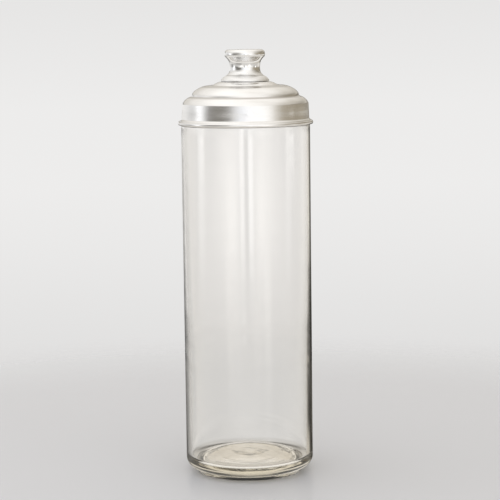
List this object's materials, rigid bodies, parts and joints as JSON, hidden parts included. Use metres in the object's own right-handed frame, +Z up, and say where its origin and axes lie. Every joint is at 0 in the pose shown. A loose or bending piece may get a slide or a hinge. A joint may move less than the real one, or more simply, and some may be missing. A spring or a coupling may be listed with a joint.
{
  "type": "specimen jar",
  "caption": "Tall cylindrical clear glass jar with a narrower mouth and a lift-off spun aluminium lid that carries a spool knob.",
  "frame": {"origin": "centre of the foot ring, on the surface that the jar stands on", "axes": "+Z up along the jar's axis, towards the lid; the jar is round, so X and Y are free"},
  "size_m": [0.0996, 0.0996, 0.3144],
  "materials": {
    "clear_glass": "gloss",
    "seal_rubber": "matte",
    "spun_aluminium": "satin",
    "polished_aluminium": "polished",
    "zinced_steel": "satin"
  },
  "bodies": {
    "jar": {"glass_jar": "clear_glass"},
    "seal": {"lid_seal": "seal_rubber"},
    "lid": {"lid_shell": "spun_aluminium", "knob": "polished_aluminium", "knob_screw": "zinced_steel", "lock_washer": "zinced_steel", "backing_washer": "zinced_steel"}
  },
  "joints": [
    {"name": "lid_lift", "type": "slide", "parent": "jar", "child": "seal", "axis": [0, 0, 1], "range_m": [0, 0.05]},
    {"name": "lid_turn", "type": "hinge", "parent": "seal", "child": "lid", "pos_m": [0, 0, 0.2745], "axis": [0, 0, 1], "continuous": true}
  ]
}
